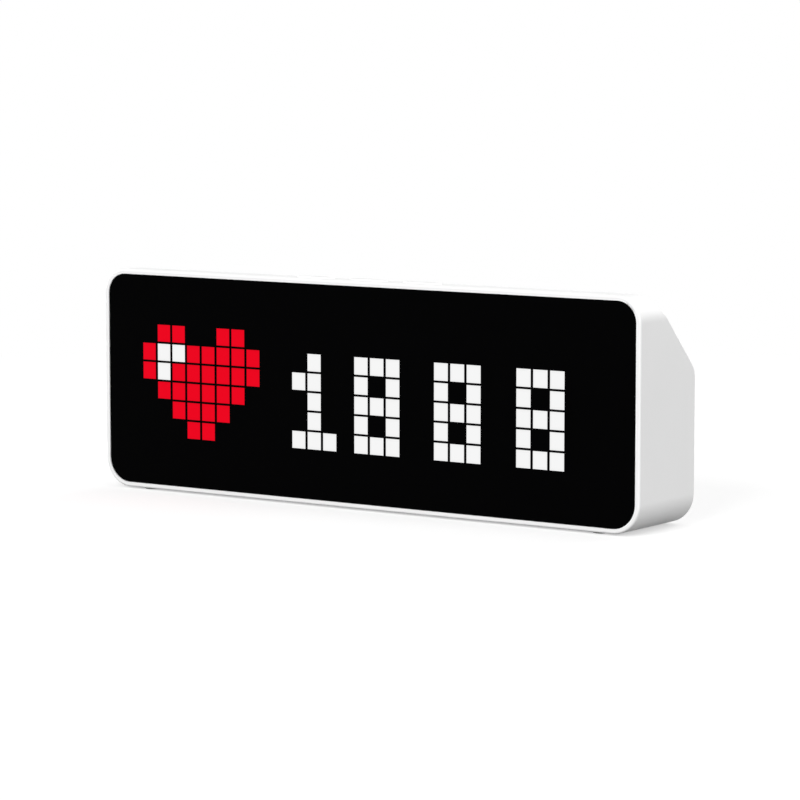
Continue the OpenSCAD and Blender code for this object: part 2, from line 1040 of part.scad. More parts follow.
// Body of the power switch
module power_switch() {
    color("dimgray")
        difference() {
            box([power_x - power_switch_x / 2, power_switch_face - power_switch_y, main_top],
                [power_x + power_switch_x / 2, power_switch_face, main_top + power_switch_z]);
            rod_y(power_x, power_z, power_switch_face - plunger_in - button_travel - plunger_gap,
                power_switch_face + over, plunger_dia + 2 * plunger_gap);
        }
}

// Cradle of the battery cells
module battery_cradle() {
    bay = cradle_half - cradle_wall;
    color("dimgray")
        difference() {
            box([-cradle_half, battery_y - cradle_side, cradle_z],
                [cradle_half, battery_y + cradle_side, cradle_top]);
            rod_x(battery_y, cell_z, -bay, bay, 2 * cradle_bore);
        }
}

// Foam tape under the cradle
module cradle_tape() {
    color("gray")
        box([-cradle_half, battery_y - cradle_side / 2, floor_z],
            [cradle_half, battery_y + cradle_side / 2, cradle_z]);
}

// Two cells end to end
module battery_cells() {
    color("seagreen")
        for (x = [-cell_length - strip_thick, strip_thick])
            rod_x(battery_y, cell_z, x, x + cell_length, cell_dia);
}

// Nickel strips at the ends of the cells and between them
module nickel_strips() {
    color("silver")
        for (x = [-battery_half, -strip_thick, battery_half - strip_thick])
            translate([x, battery_y - strip_wide / 2, cell_z - strip_wide / 2])
                cube([x == -strip_thick ? 2 * strip_thick : strip_thick, strip_wide, strip_wide]);
}

// Two wires from the left cell, up through the board's notch to the plug
module battery_lead() {
    out_x = -main_half + wire_dia;
    low_z = cradle_top + wire_dia;
    high_z = main_top + battery_socket_size[2] / 2;
    color("firebrick")
        for (s = pair)
            translate([0, battery_y + s * (wire_dia + wire_gap) / 2, 0]) {
                rod_x(0, low_z, out_x, -battery_half, wire_dia);
                translate([out_x, 0, low_z])
                    sphere(d = wire_dia);
                rod_z(out_x, 0, low_z, high_z, wire_dia);
                translate([out_x, 0, high_z])
                    sphere(d = wire_dia);
                rod_x(0, high_z, out_x, battery_socket_x - battery_plug_size[0], wire_dia);
            }
}

// Plug of the battery lead
module battery_plug() {
    color("ivory")
        translate([
            battery_socket_x - battery_plug_size[0],
            battery_y - battery_plug_size[1] / 2,
            main_top + (battery_socket_size[2] - battery_plug_size[2]) / 2
        ])
            cube(battery_plug_size);
}

// Socket of the battery lead
module battery_socket() {
    color("ivory")
        translate([battery_socket_x, battery_y - battery_socket_size[1] / 2, main_top])
            cube(battery_socket_size);
}

// Flat ribbon from the LED board down to the main board
module led_ribbon() {
    ribbon_y = led_board_back + ribbon_socket_deep / 2;
    ribbon_z = main_top + ribbon_socket_deep / 2;
    bend = ribbon_bend + ribbon_thick / 2;
    color("lightgray")
        translate([ribbon_x - ribbon_wide / 2, 0, 0])
            side_slab(0, ribbon_wide) {
                translate([ribbon_y - ribbon_thick / 2, ribbon_z + bend])
                    square([ribbon_thick, ribbon_socket_z - ribbon_z - bend]);
                translate([ribbon_y + bend, ribbon_z - ribbon_thick / 2])
                    square([main_front + ribbon_in - ribbon_y - bend, ribbon_thick]);
                translate([ribbon_y + bend, ribbon_z + bend])
                    rotate(180)
                        difference() {
                            quarter(bend + ribbon_thick / 2);
                            circle(bend - ribbon_thick / 2);
                        }
            }
}

// Sockets of the ribbon, one on each board
module ribbon_sockets() {
    color("ivory") {
        translate([ribbon_x - ribbon_socket_wide / 2, led_board_back, ribbon_socket_z])
            cube([ribbon_socket_wide, ribbon_socket_deep, ribbon_socket_high]);
        translate([ribbon_x - ribbon_socket_wide / 2, main_front + ribbon_in, main_top])
            cube([ribbon_socket_wide, ribbon_socket_high, ribbon_socket_deep]);
    }
}

housing();
rear_cover();
case_screws();
rubber_feet();
front_panel();
dark_pixel_windows();
white_pixel_windows();
red_pixel_windows();
panel_tape();
diffuser_film();
light_grid();
led_board();
led_chips();
led_board_screws();
light_sensor();
left_button();
middle_button();
right_button();
left_plunger();
middle_plunger();
right_plunger();
button_switches();
button_board();
main_board();
main_board_screws();
radio_module();
radio_shield();
board_chips();
climate_sensor();
buzzer();
coin_cell_holder();
coin_cell();
usb_socket();
usb_tongue();
power_button();
power_plunger();
power_switch();
battery_cradle();
cradle_tape();
battery_cells();
nickel_strips();
battery_lead();
battery_plug();
battery_socket();
led_ribbon();
ribbon_sockets();
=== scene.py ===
"""Looks of the pixel clock, built round its CAD frame.

Moulded pieces get soft edges, pixel windows light up, and each piece gets a procedural finish.
"""

from __future__ import annotations

import logging
import math
from dataclasses import dataclass, field
from enum import Enum
from typing import Any, Callable, ClassVar, Iterable, Sequence

import bmesh
import bpy
from mathutils import Matrix, Vector


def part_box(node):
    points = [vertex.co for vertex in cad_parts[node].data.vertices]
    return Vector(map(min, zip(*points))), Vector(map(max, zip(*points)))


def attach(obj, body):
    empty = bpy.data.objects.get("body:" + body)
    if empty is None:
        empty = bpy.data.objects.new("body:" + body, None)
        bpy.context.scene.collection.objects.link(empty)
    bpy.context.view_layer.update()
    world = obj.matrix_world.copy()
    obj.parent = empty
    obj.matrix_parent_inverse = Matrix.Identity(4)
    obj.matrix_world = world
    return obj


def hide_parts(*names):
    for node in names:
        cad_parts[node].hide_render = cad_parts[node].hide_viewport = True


LOG = logging.getLogger("pixel_clock")
TOLERANCE = 2e-5
MERGE_REACH = 1e-6
FLAT_ANGLE = math.radians(0.5)
SHARP_ANGLE = math.radians(30)
NOISE_LOW, NOISE_HIGH = 0.3, 0.7

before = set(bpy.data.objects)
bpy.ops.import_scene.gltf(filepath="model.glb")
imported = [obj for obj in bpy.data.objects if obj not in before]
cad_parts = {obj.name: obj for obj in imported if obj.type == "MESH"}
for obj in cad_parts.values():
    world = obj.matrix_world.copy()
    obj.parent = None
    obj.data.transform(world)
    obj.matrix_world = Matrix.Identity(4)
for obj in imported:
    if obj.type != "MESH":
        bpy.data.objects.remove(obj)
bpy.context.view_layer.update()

Colour = tuple[float, float, float]
Triple = tuple[float, float, float]
EdgeTest = Callable[[bmesh.types.BMEdge], bool]
WHITE: Colour = (1.0, 1.0, 1.0)


class Body(Enum):
    """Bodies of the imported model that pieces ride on."""

    CASE = "case"
    LEFT_KEY = "left_key"
    MIDDLE_KEY = "middle_key"
    RIGHT_KEY = "right_key"
    POWER_KEY = "power_key"


class Side(Enum):
    """Sides of a node's box: number of the axis, and 0 for its low end or 1 for its high end."""

    UNDERSIDE = (2, 0)
    TOP = (2, 1)
    REAR = (1, 1)


class Graph:
    """Adds nodes to one node tree and wires them."""

    def __init__(self, tree: bpy.types.NodeTree) -> None:
        """Takes the tree to fill.

        Args:
            tree: Node tree of a material, a world or a group.
        """
        self.tree = tree

    def add(
        self, kind: str, inputs: dict[Any, Any] | None = None, **settings: Any
    ) -> bpy.types.Node:
        """Adds one node.

        Args:
            kind: Node type without its ShaderNode prefix.
            inputs: Socket name or number, with a value or the socket to link.
            settings: Properties of the node.

        Returns:
            The new node.
        """
        node = self.tree.nodes.new("ShaderNode" + kind)
        for key, value in settings.items():
            setattr(node, key, value)
        for key, value in (inputs or {}).items():
            self.feed(node, key, value)
        return node

    def feed(self, node: bpy.types.Node, key: Any, value: Any) -> None:
        """Links a socket to an input, or sets the input's value.

        Args:
            node: Node that takes the value.
            key: Name or number of its input.
            value: Socket to link, number or colour.
        """
        if isinstance(value, bpy.types.NodeSocket):
            self.tree.links.new(value, node.inputs[key])
        elif isinstance(value, tuple) and len(value) == 3 and node.inputs[key].type == "RGBA":
            node.inputs[key].default_value = (*value, 1.0)
        else:
            node.inputs[key].default_value = value

    def math(self, operation: str, *values: Any) -> bpy.types.NodeSocket:
        """Adds a Math node.

        Args:
            operation: Name of the operation.
            values: Its one to three inputs.

        Returns:
            The result's socket.
        """
        return self.add("Math", dict(enumerate(values)), operation=operation).outputs[0]

    def place(self) -> bpy.types.NodeSocket:
        """Adds the object's own coordinates, and returns their socket."""
        return self.add("TexCoord").outputs["Object"]

    def noise(self, place: Any, scale: Any, detail: float) -> bpy.types.NodeSocket:
        """Adds a noise.

        Args:
            place: Socket of the coordinates.
            scale: Number or socket of the noise's scale.
            detail: Number of its finer layers.

        Returns:
            The noise's socket.
        """
        sockets = {"Vector": place, "Scale": scale, "Detail": detail}
        return self.add("TexNoise", sockets).outputs[0]

    def blend(self, factor: Any, first: Any, second: Any) -> bpy.types.NodeSocket:
        """Mixes two colours.

        Args:
            factor: Socket that goes from the first colour to the second.
            first: Colour or socket at factor 0.
            second: Colour or socket at factor 1.

        Returns:
            The mixed colour's socket.
        """
        return self.add("Mix", {0: factor, 6: first, 7: second}, data_type="RGBA").outputs[2]

    def span(
        self,
        value: Any,
        low: float,
        high: float,
        start: float = NOISE_LOW,
        end: float = NOISE_HIGH,
    ) -> bpy.types.NodeSocket:
        """Maps a value to a range.

        Args:
            value: Socket to map.
            low: Result at the start.
            high: Result at the end.
            start: Value that gives the low result.
            end: Value that gives the high result.

        Returns:
            The result's socket.
        """
        ends = {"From Min": start, "From Max": end, "To Min": low, "To Max": high}
        return self.add("MapRange", {"Value": value, **ends}).outputs["Result"]

    def bump(self, height: Any, strength: float, distance: float) -> bpy.types.NodeSocket:
        """Turns a height into a normal.

        Args:
            height: Socket of the height.
            strength: Strength of the bump.
            distance: Height of the bump in metres.

        Returns:
            The normal's socket.
        """
        sockets = {"Height": height, "Strength": strength, "Distance": distance}
        return self.add("Bump", sockets).outputs["Normal"]


class Effect:
    """A shader node group that several finishes share."""

    title: ClassVar[str] = ""
    takes: ClassVar[tuple[tuple[str, str, Any], ...]] = ()
    gives: ClassVar[tuple[str, ...]] = ()
    _made: ClassVar[dict[str, bpy.types.NodeTree]] = {}

    @classmethod
    def tree(cls) -> bpy.types.NodeTree:
        """Builds the group at its first use.

        Returns:
            The group's node tree.
        """
        if cls.title not in cls._made:
            tree = bpy.data.node_groups.new(cls.title, "ShaderNodeTree")
            for name, kind, value in cls.takes:
                socket = tree.interface.new_socket(name, in_out="INPUT", socket_type=kind)
                socket.default_value = value
            for name in cls.gives:
                tree.interface.new_socket(name, in_out="OUTPUT", socket_type="NodeSocketFloat")
            inn = tree.nodes.new("NodeGroupInput")
            out = tree.nodes.new("NodeGroupOutput")
            graph = Graph(tree)
            for name, socket in cls.wire(graph, inn).items():
                tree.links.new(socket, out.inputs[name])
            cls._made[cls.title] = tree
        return cls._made[cls.title]

    @classmethod
    def wire(cls, graph: Graph, inn: bpy.types.Node) -> dict[str, bpy.types.NodeSocket]:
        """Wires the group's inside.

        Args:
            graph: Graph of the group's tree.
            inn: The group's input node.

        Returns:
            Output names with their sockets.
        """
        raise NotImplementedError

    @classmethod
    def place(cls, graph: Graph, **values: Any) -> bpy.types.Node:
        """Places the group in a material.

        Args:
            graph: Graph of the material's tree.
            values: The group's inputs, with underscores for spaces.

        Returns:
            The group node.
        """
        node = graph.tree.nodes.new("ShaderNodeGroup")
        node.node_tree = cls.tree()
        for key, value in values.items():
            graph.feed(node, key.replace("_", " "), value)
        return node


class MouldGrain(Effect):
    """Fine grain of a moulded surface, with slow clouds of tone."""

    title = "mould_grain"
    takes = (("Grain", "NodeSocketFloat", 3000.0), ("Clouds", "NodeSocketFloat", 30.0))
    gives = ("Height", "Tone")
    grain_detail: ClassVar[float] = 3.0
    cloud_detail: ClassVar[float] = 4.0

    @classmethod
    def wire(cls, graph: Graph, inn: bpy.types.Node) -> dict[str, bpy.types.NodeSocket]:
        """Wires two noises on object coordinates, as the base class says."""
        place = graph.place()
        grain = graph.noise(place, inn.outputs["Grain"], cls.grain_detail)
        clouds = graph.noise(place, inn.outputs["Clouds"], cls.cloud_detail)
        return {"Height": grain, "Tone": clouds}


class BrushedLines(Effect):
    """Fine lines drawn along one direction of a metal or a film."""

    title = "brushed_lines"
    takes = (("Stretch", "NodeSocketVector", (1.0, 1.0, 1.0)), ("Lines", "NodeSocketFloat", 1.0))
    gives = ("Height", "Tone")
    line_detail: ClassVar[float] = 4.0
    tone_scale: ClassVar[float] = 400.0
    tone_detail: ClassVar[float] = 3.0

    @classmethod
    def wire(cls, graph: Graph, inn: bpy.types.Node) -> dict[str, bpy.types.NodeSocket]:
        """Wires a stretched noise and its slow tone, as the base class says."""
        place = graph.place()
        drawn = graph.add("Mapping", {"Vector": place, "Scale": inn.outputs["Stretch"]}).outputs[0]
        lines = graph.noise(drawn, inn.outputs["Lines"], cls.line_detail)
        tone = graph.noise(place, cls.tone_scale, cls.tone_detail)
        return {"Height": lines, "Tone": tone}


class CopperTraces(Effect):
    """Traces and round pads under a circuit board's solder mask."""

    title = "copper_traces"
    takes = (("Traces", "NodeSocketFloat", 300.0), ("Pads", "NodeSocketFloat", 500.0))
    gives = ("Trace", "Pad")
    trace_reach: ClassVar[float] = 0.09
    pad_reach: ClassVar[float] = 0.16

    @classmethod
    def wire(cls, graph: Graph, inn: bpy.types.Node) -> dict[str, bpy.types.NodeSocket]:
        """Wires cell edges for traces and cell middles for pads, as the base class says."""
        place = graph.place()
        edges = {"Vector": place, "Scale": inn.outputs["Traces"]}
        middles = {"Vector": place, "Scale": inn.outputs["Pads"]}
        cells = graph.add("TexVoronoi", edges, feature="DISTANCE_TO_EDGE").outputs["Distance"]
        spots = graph.add("TexVoronoi", middles, feature="F1").outputs["Distance"]
        trace = graph.math("LESS_THAN", cells, cls.trace_reach)
        pad = graph.math("LESS_THAN", spots, cls.pad_reach)
        return {"Trace": trace, "Pad": pad}


class PixelCell(Effect):
    """Place inside one cell of the pixel matrix, 0 in its middle and 1 at its border."""

    title = "pixel_cell"
    takes = (
        ("Column Pitch", "NodeSocketFloat", 0.006),
        ("Row Pitch", "NodeSocketFloat", 0.006),
        ("Left", "NodeSocketFloat", 0.0),
        ("Bottom", "NodeSocketFloat", 0.0),
    )
    gives = ("Square", "Round")

    @classmethod
    def wire(cls, graph: Graph, inn: bpy.types.Node) -> dict[str, bpy.types.NodeSocket]:
        """Wires a repeating offset from each cell's middle, as the base class says."""
        axes = graph.add("SeparateXYZ", {0: graph.place()})
        offsets = []
        for axis, start, pitch in (("X", "Left", "Column Pitch"), ("Z", "Bottom", "Row Pitch")):
            from_start = graph.math("SUBTRACT", axes.outputs[axis], inn.outputs[start])
            cells = graph.math("DIVIDE", from_start, inn.outputs[pitch])
            offset = graph.math("SUBTRACT", graph.math("FRACT", cells), 0.5)
            offsets.append(graph.math("MULTIPLY", graph.math("ABSOLUTE", offset), 2.0))
        squares = [graph.math("MULTIPLY", offset, offset) for offset in offsets]
        return {
            "Square": graph.math("MAXIMUM", *offsets),
            "Round": graph.math("SQRT", graph.math("ADD", *squares)),
        }


@dataclass(frozen=True)
class Finish:
    """A material of one record slot."""

    slot: str
    colour: Colour
    roughness: float = 0.5
    specular: float = 0.5
    _made: ClassVar[dict[str, bpy.types.Material]] = {}

    def material(self) -> bpy.types.Material:
        """Makes the material at its first use.

        Returns:
            The Blender material.
        """
        if self.slot not in self._made:
            material = bpy.data.materials.new(self.slot)
            material.use_nodes = True
            graph = Graph(material.node_tree)
            shader = next(n for n in graph.tree.nodes if n.type == "BSDF_PRINCIPLED")
            shader.inputs["Specular IOR Level"].default_value = self.specular
            self.shade(graph, shader)
            self._made[self.slot] = material
        return self._made[self.slot]

    def shade(self, graph: Graph, shader: bpy.types.Node) -> None:
        """Wires the finish.

        Args:
            graph: Graph of the material's tree.
            shader: Its Principled BSDF.
        """
        raise NotImplementedError

    def tint(self, share: float) -> Colour:
        """Scales the finish's colour.

        Args:
            share: Factor for each channel.

        Returns:
            The scaled colour, at most 1.
        """
        return tuple(min(1.0, channel * share) for channel in self.colour)

    def shades(self, graph: Graph, tone: Any, spread: float) -> bpy.types.NodeSocket:
        """Goes from a darker shade of the colour to a lighter one.

        Args:
            graph: Graph of the material's tree.
            tone: Socket that is 0 where dark and 1 where light.
            spread: Share that the shades lie off the colour.

        Returns:
            The shade's socket.
        """
        return graph.blend(tone, self.tint(1 - spread), self.tint(1 + spread))

    def gloss(self, graph: Graph, height: Any, spread: float) -> bpy.types.NodeSocket:
        """Varies the roughness with a noise.

        Args:
            graph: Graph of the material's tree.
            height: Socket of the noise.
            spread: Most that the roughness lies off its middle.

        Returns:
            The roughness's socket.
        """
        return graph.span(height, self.roughness - spread, self.roughness + spread)


@dataclass(frozen=True)
class Moulded(Finish):
    """Moulded plastic or rubber: fine grain, faint clouds of tone and of gloss."""

    spread: float = 0.02
    gloss_spread: float = 0.06
    grain: float = 2600.0
    clouds: float = 28.0
    depth: float = 1.5e-5
    strength: float = 0.25

    def shade(self, graph: Graph, shader: bpy.types.Node) -> None:
        """Wires tone, gloss and grain, as the base class says."""
        grain = MouldGrain.place(graph, Grain=self.grain, Clouds=self.clouds)
        tone, height = graph.span(grain.outputs["Tone"], 0.0, 1.0), grain.outputs["Height"]
        graph.feed(shader, "Base Color", self.shades(graph, tone, self.spread))
        graph.feed(shader, "Roughness", self.gloss(graph, height, self.gloss_spread))
        graph.feed(shader, "Normal", graph.bump(height, self.strength, self.depth))


@dataclass(frozen=True)
class TintedPanel(Finish):
    """Dark tinted front panel: deep colour and faint wiping marks in its gloss."""

    spread: float = 0.2
    marks: float = 0.02
    stretch: Triple = (120.0, 120.0, 160.0)

    def shade(self, graph: Graph, shader: bpy.types.Node) -> None:
        """Wires tone and wiping marks, as the base class says."""
        wiped = BrushedLines.place(graph, Stretch=self.stretch, Lines=1.0)
        graph.feed(shader, "Base Color", self.shades(graph, wiped.outputs["Tone"], self.spread))
        graph.feed(shader, "Roughness", self.gloss(graph, wiped.outputs["Height"], self.marks))


@dataclass(frozen=True)
class PixelMatrix:
    """Rows and columns of pixels behind the film, with a plain border round them."""

    columns: int = 32
    rows: int = 8
    border: float = 0.0004

    def cell(self, graph: Graph) -> bpy.types.Node:
        """Places the cell pattern over the film.

        Args:
            graph: Graph of the material's tree.

        Returns:
            The group node.
        """
        low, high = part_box("diffuser_film")
        width = high.x - low.x - 2 * self.border
        height = high.z - low.z - 2 * self.border
        return PixelCell.place(
            graph,
            Column_Pitch=width / self.columns,
            Row_Pitch=height / self.rows,
            Left=low.x + self.border,
            Bottom=low.z + self.border,
        )


@dataclass(frozen=True)
class LitWindow(Finish):
    """Lit pixel window: even light that falls off a little at the cell's border."""

    glow: Colour = WHITE
    fall: float = 0.95
    border: tuple[float, float] = (0.55, 0.95)
    spread: float = 0.1
    gloss_spread: float = 0.1
    grain: float = 1500.0
    clouds: float = 90.0
    matrix: PixelMatrix = PixelMatrix()

    def shade(self, graph: Graph, shader: bpy.types.Node) -> None:
        """Wires the glow over each cell, as the base class says."""
        cell = self.matrix.cell(graph)
        grain = MouldGrain.place(graph, Grain=self.grain, Clouds=self.clouds)
        border = graph.span(cell.outputs["Square"], 0.0, 1.0, *self.border)
        dimmed = tuple(channel * self.fall for channel in self.glow)
        graph.feed(shader, "Emission Color", graph.blend(border, self.glow, dimmed))
        graph.feed(shader, "Emission Strength", 1.0)
        tone, height = graph.span(grain.outputs["Tone"], 0.0, 1.0), grain.outputs["Height"]
        graph.feed(shader, "Base Color", self.shades(graph, tone, self.spread))
        rough = graph.span(height, self.roughness, self.roughness + self.gloss_spread)
        graph.feed(shader, "Roughness", rough)


@dataclass(frozen=True)
class LightSource(Finish):
    """Package of a light source, with a round phosphor in its middle."""

    phosphor: Colour = (0.75, 0.6, 0.12)
    phosphor_size: float = 0.26
    phosphor_blur: float = 0.02
    phosphor_roughness: float = 0.2
    matrix: PixelMatrix = PixelMatrix()

    def shade(self, graph: Graph, shader: bpy.types.Node) -> None:
        """Wires the phosphor spot and the package's tone, as the base class says."""
        cell = self.matrix.cell(graph)
        size, blur = self.phosphor_size, self.phosphor_blur
        spot = graph.span(cell.outputs["Round"], 1.0, 0.0, size - blur, size + blur)
        graph.feed(shader, "Base Color", graph.blend(spot, self.colour, self.phosphor))
        rough = graph.span(spot, self.roughness, self.phosphor_roughness, 0.0, 1.0)
        graph.feed(shader, "Roughness", rough)


@dataclass(frozen=True)
class DrawnMetal(Finish):
    """Plated or drawn metal with fine lines along one direction."""

    stretch: Triple = (300.0, 4000.0, 4000.0)
    spread: float = 0.12
    gloss_spread: float = 0.12
    strength: float = 0.12
    depth: float = 1e-5

    def shade(self, graph: Graph, shader: bpy.types.Node) -> None:
        """Wires lines, tone and gloss, as the base class says."""
        drawn = BrushedLines.place(graph, Stretch=self.stretch, Lines=1.0)
        tone, lines = graph.span(drawn.outputs["Tone"], 0.0, 1.0), drawn.outputs["Height"]
        graph.feed(shader, "Base Color", self.shades(graph, tone, self.spread))
        graph.feed(shader, "Metallic", 1.0)
        graph.feed(shader, "Roughness", self.gloss(graph, lines, self.gloss_spread))
        graph.feed(shader, "Normal", graph.bump(lines, self.strength, self.depth))


@dataclass(frozen=True)
class CircuitBoard(Finish):
    """Solder mask over copper traces, with tinned pads."""

    pad: Colour = (0.72, 0.7, 0.64)
    pad_roughness: float = 0.3
    trace_tint: float = 1.7
    traces: float = 260.0
    pads: float = 420.0
    strength: float = 0.3
    depth: float = 3e-5

    def shade(self, graph: Graph, shader: bpy.types.Node) -> None:
        """Wires mask, traces and pads, as the base class says."""
        copper = CopperTraces.place(graph, Traces=self.traces, Pads=self.pads)
        trace, pad = copper.outputs["Trace"], copper.outputs["Pad"]
        mask = graph.blend(trace, self.colour, self.tint(self.trace_tint))
        graph.feed(shader, "Base Color", graph.blend(pad, mask, self.pad))
        graph.feed(shader, "Metallic", pad)
        rough = graph.span(pad, self.roughness, self.pad_roughness, 0.0, 1.0)
        graph.feed(shader, "Roughness", rough)
        graph.feed(shader, "Normal", graph.bump(trace, self.strength, self.depth))


@dataclass(frozen=True)
class FlatCable(Finish):
    """Flat cable whose conductors show as ribs along it."""

    ribs: float = 500.0
    spread: float = 0.2
    gloss_spread: float = 0.1
    strength: float = 0.4
    depth: float = 1e-4

    def shade(self, graph: Graph, shader: bpy.types.Node) -> None:
        """Wires the ribs across the cable, as the base class says."""
        across = {"Vector": graph.place(), "Scale": self.ribs}
        ribs = graph.add("TexWave", across, bands_direction="X").outputs[1]
        graph.feed(shader, "Base Color", self.shades(graph, ribs, self.spread))
        rough = graph.span(ribs, self.roughness, self.roughness + self.gloss_spread, 0.0, 1.0)
        graph.feed(shader, "Roughness", rough)
        graph.feed(shader, "Normal", graph.bump(ribs, self.strength, self.depth))


CASE_WHITE = Moulded("case_white", (0.89, 0.89, 0.89), 0.46, spread=0.012)
BUTTON_WHITE = Moulded("button_white", (0.87, 0.87, 0.87), 0.36, spread=0.012, grain=3600.0)
PANEL_BLACK = TintedPanel("panel_black", (0.0006, 0.0006, 0.0007), 0.34, 0.008)
PIXEL_DARK = TintedPanel("pixel_dark", (0.0006, 0.0006, 0.0007), 0.34, 0.008)
PIXEL_WHITE = LitWindow("pixel_white", (0.01, 0.01, 0.01), 0.4, 0.01, glow=(0.91, 0.91, 0.91))
PIXEL_RED = LitWindow(
    "pixel_red", (0.01, 0.0005, 0.0005), 0.4, 0.01, glow=(0.834, 0.0012, 0.0135)
)
FOOT_RUBBER = Moulded(
    "foot_rubber", (0.045, 0.045, 0.047), 0.8, 0.3, spread=0.15, grain=1500.0, depth=4e-5
)
TAPE = Moulded("tape", (0.3, 0.3, 0.31), 0.85, 0.3, spread=0.15, grain=900.0, depth=6e-5)
FILM = Moulded("film", (0.85, 0.85, 0.85), 0.55, spread=0.02, grain=5000.0)
GRID_WHITE = Moulded("grid_white", (0.8, 0.8, 0.8), 0.6, spread=0.03, grain=1800.0)
BOARD_GREEN = CircuitBoard("board_green", (0.012, 0.09, 0.035), 0.36)
MODULE_BLUE = CircuitBoard("module_blue", (0.01, 0.012, 0.03), 0.38, traces=600.0, pads=800.0)
LED_PACKAGE = LightSource("led_package", (0.82, 0.8, 0.7), 0.4)
SENSOR_PACKAGE = Moulded("sensor_package", (0.75, 0.75, 0.72), 0.3, spread=0.05, grain=4000.0)
SCREW_STEEL = DrawnMetal("screw_steel", (0.62, 0.62, 0.62), 0.34, stretch=(2500.0, 400.0, 2500.0))
CHIP_BLACK = Moulded("chip_black", (0.02, 0.02, 0.02), 0.55, spread=0.15)
SHIELD_METAL = DrawnMetal("shield_metal", (0.68, 0.68, 0.66), 0.32)
COIN_METAL = DrawnMetal("coin_metal", (0.7, 0.7, 0.7), 0.28, stretch=(900.0, 900.0, 200.0))
INLET_METAL = DrawnMetal("inlet_metal", (0.7, 0.7, 0.7), 0.3, stretch=(2500.0, 300.0, 2500.0))
NICKEL = DrawnMetal("nickel", (0.6, 0.58, 0.53), 0.35)
CELL_SLEEVE = Moulded("cell_sleeve", (0.03, 0.25, 0.12), 0.28, spread=0.1, grain=700.0, clouds=60.0)
CRADLE_GREY = Moulded("cradle_grey", (0.12, 0.12, 0.125), 0.55, spread=0.08)
CONNECTOR_IVORY = Moulded("connector_ivory", (0.78, 0.74, 0.62), 0.42, spread=0.04)
WIRE_RED = Moulded("wire_red", (0.5, 0.02, 0.02), 0.45, spread=0.1, grain=1200.0)
RIBBON_GREY = FlatCable("ribbon_grey", (0.55, 0.55, 0.56), 0.5)


def dress(finish: Finish, *nodes: str) -> None:
    """Gives CAD nodes a finish.

    Args:
        finish: Finish to use.
        nodes: Names of the nodes.
    """
    for name in nodes:
        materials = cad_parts[name].data.materials
        materials.clear()
        materials.append(finish.material())
        LOG.info("dressed %s in %s", name, finish.slot)


def finish_piece(
    mesh: bmesh.types.BMesh, name: str, body: Body, finish: Finish
) -> bpy.types.Object:
    """Turns a bmesh into a piece that rides on a body.

    Args:
        mesh: The piece's mesh, in the frame's place. It is freed.
        name: Name of the piece.
        body: Body that it rides on.
        finish: Finish that it wears.

    Returns:
        The new object.
    """
    data = bpy.data.meshes.new(name)
    mesh.to_mesh(data)
    mesh.free()
    data.shade_smooth()
    data.set_sharp_from_angle(angle=SHARP_ANGLE)
    data.materials.append(finish.material())
    piece = bpy.data.objects.new(name, data)
    bpy.context.scene.collection.objects.link(piece)
    weighted = piece.modifiers.new("even_shading", "WEIGHTED_NORMAL")
    weighted.keep_sharp = True
    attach(piece, body.value)
    LOG.info("built %s with %d faces", name, len(data.polygons))
    return piece


def merged_copy(node: str) -> bmesh.types.BMesh:
    """Copies a CAD node's mesh, joins its triangles and clears edges inside flat faces.

    Args:
        node: Name of the node.

    Returns:
        The merged mesh.
    """
    mesh = bmesh.new()
    mesh.from_mesh(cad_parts[node].data)
    bmesh.ops.remove_doubles(mesh, verts=mesh.verts[:], dist=MERGE_REACH)
    bmesh.ops.dissolve_limit(
        mesh,
        angle_limit=FLAT_ANGLE,
        verts=mesh.verts[:],
        edges=mesh.edges[:],
        use_dissolve_boundaries=False,
    )
    return mesh


@dataclass(frozen=True)
class Rounding:
    """Radius of a rounded edge in metres, and the faces across it."""

    radius: float
    segments: int


def round_edges(mesh: bmesh.types.BMesh, chosen: EdgeTest, rounding: Rounding) -> None:
    """Rounds the sharp edges that a test chooses.

    Args:
        mesh: Mesh to change.
        chosen: Test of an edge.
        rounding: Rounding that they get.
    """
    edges = [
        edge
        for edge in mesh.edges
        if len(edge.link_faces) == 2 and edge.calc_face_angle(0.0) > SHARP_ANGLE and chosen(edge)
    ]
    bmesh.ops.bevel(
        mesh,
        geom=edges,
        offset=rounding.radius,
        offset_type="OFFSET",
        segments=rounding.segments,
        profile=0.5,
        affect="EDGES",
        clamp_overlap=True,
        loop_slide=False,
        material=-1,
    )


def on_side(node: str, side: Side) -> EdgeTest:
    """Makes a test for edges that lie on one side of a node's box.

    Args:
        node: Name of the CAD node.
        side: Side of its box.

    Returns:
        The test.
    """
    axis, end = side.value
    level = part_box(node)[end][axis]
    return lambda edge: all(abs(vertex.co[axis] - level) < TOLERANCE for vertex in edge.verts)


